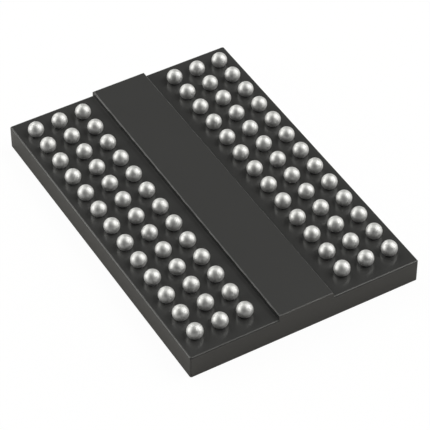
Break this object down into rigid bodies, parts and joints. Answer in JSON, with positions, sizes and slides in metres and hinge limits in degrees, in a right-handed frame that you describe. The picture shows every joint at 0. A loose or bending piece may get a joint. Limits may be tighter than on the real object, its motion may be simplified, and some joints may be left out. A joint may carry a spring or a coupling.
{
  "type": "ball grid array chip",
  "caption": "Flat black window ball-grid chip, balls up, with a raised moulded strip between two fields of silver solder balls",
  "frame": {"origin": "middle of the flat marking face, which the chip lies on", "axes": "+Z out of the ball side, +Y along the long side towards ball row A, +X across the ball columns"},
  "size_m": [0.0074, 0.011, 0.0012],
  "materials": {
    "moulding_compound": "matte",
    "laminate": "matte",
    "solder_mask": "gloss",
    "copper": "satin",
    "silicon": "polished",
    "adhesive_tape": "matte",
    "gold_wire": "polished",
    "solder": "satin"
  },
  "bodies": {
    "root": {"mould_body": "moulding_compound", "laminate": "laminate", "solder_mask": "solder_mask", "conductors_left": "copper", "conductors_right": "copper", "die": "silicon", "die_attach_left": "adhesive_tape", "die_attach_right": "adhesive_tape", "bond_wires_left": "gold_wire", "bond_wires_right": "gold_wire", "ball_row_a": "solder", "ball_row_b": "solder", "ball_row_c": "solder", "ball_row_d": "solder", "ball_row_e": "solder", "ball_row_f": "solder", "ball_row_g": "solder", "ball_row_h": "solder", "ball_row_j": "solder", "ball_row_k": "solder", "ball_row_l": "solder", "ball_row_m": "solder", "ball_row_n": "solder"}
  },
  "joints": []
}
